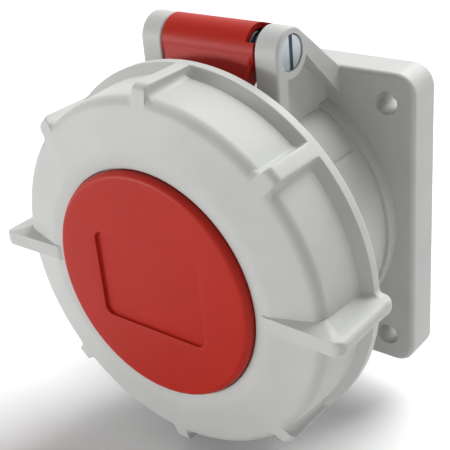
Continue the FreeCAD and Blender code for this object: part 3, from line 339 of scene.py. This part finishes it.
def locking_ring_surface():
    """Section lines turned about the socket's axis: each column holds an offset from the
    middle of its rib or wing and a share w, and its line is (1 - w) * wall + w * rib. Between
    two ribs w is 0 and the angle passes evenly from one foot to the next. A wing's edges are
    crisp in front and well rounded outside; a rib's foot spreads at its nose and at the rim."""
    lines = {kind: ring_outline(kind) for kind in ("wall", "rib", "wing")}
    row = np.arange(len(lines["wall"]))[:, None]
    nose_row, rim_row, rear_row, change_rows = 34, 62, 100, 8
    nose_spread, rim_spread = 0.6, 0.7
    crest_share = 0.95
    rib = flank(**RIB)
    wing_front = flank(**WING_FRONT)
    wing_side = flank(**WING_SIDE)
    past_nose = np.clip((row - nose_row) / change_rows, 0, 1)
    outside = past_nose * np.clip((rear_row - row) / change_rows, 0, 1)
    spread = 1 + nose_spread * bump(row, nose_row, 5) + rim_spread * bump(row, rim_row, 3)
    flare = np.interp(row, [0, 12, 20, 40], [0.1, 0.1, 0.6, 0.9])
    inner = np.minimum(rib[:, 0], RIB["half_width"])
    edge = WING_FRONT["half_width"]
    slant = np.clip((wing_front[:, 0] - edge) / (wing_front[-1, 0] - edge), 0, 1)
    wing_front[:, 1] = wing_front[:, 1].clip(crest_share) * (1 - slant)
    wing_inner = np.minimum(wing_front[:, 0], edge)
    wing_front_offset = wing_inner + (wing_front[:, 0] - wing_inner) * flare
    shapes = {
        "rib": (inner + (rib[:, 0] - inner) * spread, rib[:, 1] + 0 * row),
        "wing": (
            wing_front_offset * (1 - outside) + wing_side[:, 0] * outside,
            wing_front[:, 1] * (1 - outside) + wing_side[:, 1] * outside,
        ),
    }
    radii = []
    heights = []
    angles = []
    margin = 0.006
    between = np.concatenate([[margin], np.linspace(0, 1, 16)[1:-1], [1 - margin]])
    plain = lines["wall"][:, :1]
    pitch = 2 * math.pi / RIBS_AND_WINGS
    for step in range(RIBS_AND_WINGS):
        kind = "wing" if step % WING_EVERY == 0 else "rib"
        following = "wing" if (step + 1) % WING_EVERY == 0 else "rib"
        offset, share = shapes[kind]
        across = np.concatenate([-offset[:, ::-1], 0 * row, offset], 1)
        share = np.concatenate([share[:, ::-1], 0 * row + 1.0, share], 1)
        r = plain * (1 - share) + lines[kind][:, :1] * share
        radii.append(r)
        heights.append(lines["wall"][:, 1:] * (1 - share) + lines[kind][:, 1:] * share)
        angles.append(step * pitch + np.arcsin(across / r))
        leave = step * pitch + np.arcsin(offset[:, -1:] / plain)
        arrive = (step + 1) * pitch - np.arcsin(shapes[following][0][:, -1:] / plain)
        radii.append(plain + 0 * between)
        heights.append(lines["wall"][:, 1:] + 0 * between)
        angles.append(leave * (1 - between) + arrive * between)
    r = np.concatenate(radii, 1)
    y = np.concatenate(heights, 1)
    angle = np.concatenate(angles, 1)
    return np.stack([r * np.cos(angle), y, r * np.sin(angle)], 2)


def catch_surface(middle):
    """A bar of the catch's section, its corners rounded, carried along an arc about the
    socket's axis: one closed section (r, y) in each row, the rows at even angles."""
    corners = [(CATCH["inner"], CATCH["front"]), (CATCH["outer"], CATCH["front"])]
    corners += [(CATCH["outer"], CATCH["rear"]), (CATCH["inner"], CATCH["rear"])]
    section = np.concatenate([
        bend(corners[k - 1], corners[k], corners[(k + 1) % 4], CATCH["round"], 5)
        for k in range(4)
    ])
    half = math.radians(CATCH["half_angle"])
    angle = math.radians(middle) + np.linspace(-half, half, 13)[:, None]
    radius, depth = section[:, 0], section[:, 1]
    return np.stack([radius * np.cos(angle), depth + 0 * angle, radius * np.sin(angle)], 2)


def grid_faces(rows, columns, close_rows=True):
    """Triangles between neighbouring rows and columns of a grid whose columns close on
    themselves, and whose last row also joins the first if close_rows is set."""
    i = np.arange(rows if close_rows else rows - 1)
    j = np.arange(columns)
    i, j = np.meshgrid(i, j, indexing="ij")
    down = (i + 1) % rows
    right = (j + 1) % columns
    corners = [i * columns + j, down * columns + j, down * columns + right, i * columns + right]
    quads = np.stack(corners, 2).reshape(-1, 4)
    return np.concatenate([quads[:, :3], quads[:, [0, 2, 3]]])


def capped(surface):
    """Points and triangles of a grid whose first and last rows each close on a point of
    their own, which is added in that row's middle."""
    rows, columns = surface.shape[:2]
    points = np.concatenate([surface.reshape(-1, 3), surface[:1].mean(1), surface[-1:].mean(1)])
    column = np.arange(columns)
    following = (column + 1) % columns
    head = np.stack([following, column, np.full(columns, rows * columns)], 1)
    last = (rows - 1) * columns
    tail = np.stack([last + column, last + following, np.full(columns, rows * columns + 1)], 1)
    return points, np.concatenate([grid_faces(rows, columns, close_rows=False), head, tail])


def mesh_of(name, shells):
    """A mesh object from closed shells, each one points in millimetres and triangles. A shell
    that encloses a negative volume has its triangles turned round, so that they look outwards."""
    all_points = []
    all_faces = []
    count = 0
    for points, faces in shells:
        points = np.asarray(points, float).reshape(-1, 3) * 0.001
        corner = points[faces]
        if (corner[:, 0] * np.cross(corner[:, 1], corner[:, 2])).sum() < 0:
            faces = faces[:, ::-1]
        all_points.append(points)
        all_faces.append(faces + count)
        count += len(points)
    points = np.concatenate(all_points)
    faces = np.concatenate(all_faces)
    mesh = bpy.data.meshes.new(name)
    mesh.vertices.add(len(points))
    mesh.vertices.foreach_set("co", points.ravel())
    mesh.loops.add(faces.size)
    mesh.loops.foreach_set("vertex_index", faces.astype(np.int32).ravel())
    mesh.polygons.add(len(faces))
    mesh.polygons.foreach_set("loop_start", np.arange(0, faces.size, 3, dtype=np.int32))
    mesh.polygons.foreach_set("use_smooth", np.ones(len(faces), bool))
    mesh.update(calc_edges=True)
    mesh.validate()
    made = bpy.data.objects.new(name, mesh)
    bpy.context.scene.collection.objects.link(made)
    return made


def keep_edges(made, degrees):
    """Shade smoothly except over edges that turn by more than this angle."""
    made.data.set_sharp_from_angle(angle=math.radians(degrees))


ring_points = locking_ring_surface()
ring_shells = [(ring_points, grid_faces(*ring_points.shape[:2]))]
ring_shells += [capped(catch_surface(middle)) for middle in CATCH["middles"]]
locking_ring = mesh_of("locking_ring_shell", ring_shells)
keep_edges(locking_ring, degrees=26)
locking_ring.data.materials.append(pale_grey)
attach(locking_ring, "ring")
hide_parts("locking_ring")

# Front disc. A red moulding pressed into the lid's hub, which keeps the ring on the lid. Its
# edge is well rounded, and the rectangular field sunk in its face is plain.

DISC = {
    "radius": 27.2, "front": -59.2, "rear": -56.8, "round": 1.5, "rear_break": 0.15,
    "face_shares": (0.2, 0.4, 0.6, 0.8, 1.0), "rear_radii": (18.0, 9.0, 1.0),
}
FIELD = {
    "across": 14.6, "up": 10.8, "corner": 2.2, "depth": 0.8, "lip": 0.14, "taper": 0.02,
    "floor_shares": (0.04, 0.3, 0.6, 0.85), "lip_angles": (0.4, 0.8, 1.2, 1.5708),
}


def field_edge(along, round_steps):
    """Points and outward directions (x, z) round a rectangle with rounded corners: along
    points on each straight side and round_steps on each corner's quarter circle."""
    points = []
    normals = []
    reach = np.array([FIELD["across"], FIELD["up"]]) - FIELD["corner"]
    for quarter, signs in enumerate([(1, 1), (-1, 1), (-1, -1), (1, -1)]):
        start = quarter * math.pi / 2
        turn = start + np.linspace(0, math.pi / 2, round_steps)
        normal = np.stack([np.cos(turn), np.sin(turn)], 1)
        points.append(signs * reach + FIELD["corner"] * normal)
        normals.append(normal)
    for quarter in range(4):
        following = (quarter + 1) % 4
        share = np.linspace(0, 1, along + 2)[1:-1, None]
        side = points[quarter][-1] * (1 - share) + points[following][0] * share
        points[quarter] = np.concatenate([points[quarter], side])
        facing = np.repeat(normals[quarter][-1:], along, 0)
        normals[quarter] = np.concatenate([normals[quarter], facing])
    return np.concatenate(points), np.concatenate(normals)


def disc_surface():
    """Rows from the middle of the field to the middle of the back. In the field a row is the
    field's edge shrunk towards the middle; on the face it passes from the field's edge to a
    circle by w; then the rounded edge, the side and the back are circles."""
    edge, normal = field_edge(along=16, round_steps=10)
    direction = edge / np.linalg.norm(edge, axis=1, keepdims=True)
    front = DISC["front"]
    floor = front + FIELD["depth"]
    lip = FIELD["lip"]
    rows = [(edge * share, floor) for share in FIELD["floor_shares"]]
    rows.append((edge - normal * lip, floor))
    rows.append((edge - normal * FIELD["taper"], floor - lip))
    rows.append((edge, front + lip))
    for a in FIELD["lip_angles"]:
        rows.append((edge + normal * lip * (1 - math.cos(a)), front + lip * (1 - math.sin(a))))
    start = edge + normal * lip
    flat = direction * (DISC["radius"] - DISC["round"])
    rows += [(start * (1 - w) + flat * w, front) for w in DISC["face_shares"]]
    for a in np.radians(np.linspace(10, 90, 9)):
        radius = DISC["radius"] - DISC["round"] * (1 - math.sin(a))
        rows.append((direction * radius, front + DISC["round"] * (1 - math.cos(a))))
    rows.append((direction * DISC["radius"], DISC["rear"] - DISC["rear_break"]))
    rows.append((direction * (DISC["radius"] - DISC["rear_break"]), DISC["rear"]))
    rows += [(direction * radius, DISC["rear"]) for radius in DISC["rear_radii"]]
    return np.array([np.stack([p[:, 0], np.full(len(p), y), p[:, 1]], 1) for p, y in rows])


lid_disc = mesh_of("lid_front_disc", [capped(disc_surface())])
keep_edges(lid_disc, degrees=32)
lid_disc.data.materials.append(signal_red)
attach(lid_disc, "lid")
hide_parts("lid_disc")

# Hinge screw and closing spring. The plated steel screw, with a slotted head, goes through
# both lugs and the lid's barrel. The spring, wound from oiled wire, lies round it inside the
# barrel and pushes the lid shut.

spring_steel = finish(
    "oiled_spring_steel", (0.10, 0.10, 0.11),
    roughness=0.45, grain=0.0009, depth=0.00002, mottle=0.06, metallic=1.0,
)
dress(["hinge_screw"], plated_steel)
dress(["closing_spring"], spring_steel)

# Floor, lights and camera. A pale table top under the socket, which fades to white far away,
# a large soft lamp above and behind, a low one at the left front, and the picture's viewpoint.

FLOOR = {
    "height": -0.0487, "reach": 6.0, "fade_start": 0.5, "fade_end": 1.1,
    "lit": (0.86, 0.86, 0.86, 1.0), "seen": (0.95, 0.95, 0.95, 1.0),
}
SKY_FILL = 0.32
WHITE = (1.0, 1.0, 1.0, 1.0)
AIM = (0.0, -0.02, 0.0)
VIEW = {
    "place": (0.1300, -0.1851, 0.1072), "yaw": 40.24, "pitch": 27.40, "roll": -5.45,
    "focal_pixels": 962.45, "frame_pixels": 450, "sensor": 36.0,
}


def seen_ray(tree):
    """1 for a ray that shows the surface to the camera, also by way of gloss or glass."""
    ray = node(tree, "ShaderNodeLightPath", {}, {})
    return ray["Is Camera Ray"] + ray["Is Glossy Ray"] + ray["Is Transmission Ray"]


def turned(right, up, back, place):
    """The matrix of a lamp or camera at a place, from its three directions."""
    matrix = np.eye(4)
    matrix[:3] = np.stack([right, up, back, place], 1)
    return Matrix(matrix.tolist())


def lamp(name, place, target, width, height, watts):
    """A rectangular lamp that looks from its place at a target, both in metres."""
    data = bpy.data.lights.new(name, "AREA")
    data.shape = "RECTANGLE"
    data.size = width
    data.size_y = height
    data.energy = watts
    made = bpy.data.objects.new(name, data)
    back = np.array(place) - np.array(target)
    back = back / np.linalg.norm(back)
    right = np.cross([0.0, 0.0, 1.0], back)
    right = right / np.linalg.norm(right)
    made.matrix_world = turned(right, np.cross(back, right), back, place)
    bpy.context.scene.collection.objects.link(made)


corners = np.array([(-1, -1), (1, -1), (1, 1), (-1, 1)]) * FLOOR["reach"]
floor_points = [(x, y, FLOOR["height"]) for x, y in corners.tolist()]
floor_mesh = bpy.data.meshes.new("floor")
floor_mesh.from_pydata(floor_points, [], [(0, 1, 2, 3)])
floor = bpy.data.objects.new("floor", floor_mesh)
bpy.context.scene.collection.objects.link(floor)
floor_paint = bpy.data.materials.new("pale_floor")
floor_paint.use_nodes = True
tree = floor_paint.node_tree
tree.nodes.clear()
seen = seen_ray(tree)
stops = ((0.0, FLOOR["lit"]), (1.0, FLOOR["seen"]))
paint = node(tree, "ShaderNodeValToRGB", {"stops": stops}, {"Fac": seen})
paper = node(
    tree, "ShaderNodeBsdfPrincipled", {},
    {"Base Color": paint["Color"], "Roughness": 0.9, "Specular IOR Level": 0.0},
)
place = node(tree, "ShaderNodeTexCoord", {}, {})["Object"]
away = node(tree, "ShaderNodeVectorMath", {"operation": "LENGTH"}, {0: place})["Value"]
far = node(
    tree, "ShaderNodeMapRange", {"clamp": True},
    {"Value": away, "From Min": FLOOR["fade_start"], "From Max": FLOOR["fade_end"]},
)["Result"]
white = node(tree, "ShaderNodeEmission", {}, {"Color": WHITE, "Strength": 1.0})
fade = node(
    tree, "ShaderNodeMixShader", {}, {0: far * seen, 1: paper["BSDF"], 2: white["Emission"]},
)
node(tree, "ShaderNodeOutputMaterial", {}, {"Surface": fade["Shader"]})
floor_mesh.materials.append(floor_paint)

world = bpy.context.scene.world or bpy.data.worlds.new("studio")
bpy.context.scene.world = world
world.use_nodes = True
tree = world.node_tree
tree.nodes.clear()
level = SKY_FILL + seen_ray(tree) * (1 - SKY_FILL)
sky = node(tree, "ShaderNodeBackground", {}, {"Color": WHITE, "Strength": level})
node(tree, "ShaderNodeOutputWorld", {}, {"Surface": sky["Background"]})
lamp("top_back", (0.1, 1.36, 1.48), AIM, width=1.6, height=1.6, watts=62.0)
lamp("left_front", (-1.20, -1.60, 0.14), AIM, width=1.2, height=0.34, watts=22.5)

yaw, pitch, roll = (math.radians(VIEW[name]) for name in ("yaw", "pitch", "roll"))
level_back = np.array([math.sin(yaw), -math.cos(yaw), 0.0])
view_back = level_back * math.cos(pitch) + np.array([0.0, 0.0, math.sin(pitch)])
view_right = np.array([math.cos(yaw), math.sin(yaw), 0.0])
view_up = np.cross(view_back, view_right)
camera_data = bpy.data.cameras.new("camera")
camera_data.sensor_width = VIEW["sensor"]
camera_data.lens = VIEW["focal_pixels"] / VIEW["frame_pixels"] * VIEW["sensor"]
camera = bpy.data.objects.new("camera", camera_data)
camera.matrix_world = turned(
    view_right * math.cos(roll) + view_up * math.sin(roll),
    view_up * math.cos(roll) - view_right * math.sin(roll),
    view_back,
    VIEW["place"],
)
bpy.context.scene.collection.objects.link(camera)
bpy.context.scene.camera = camera
bpy.context.scene.view_settings.view_transform = "Standard"
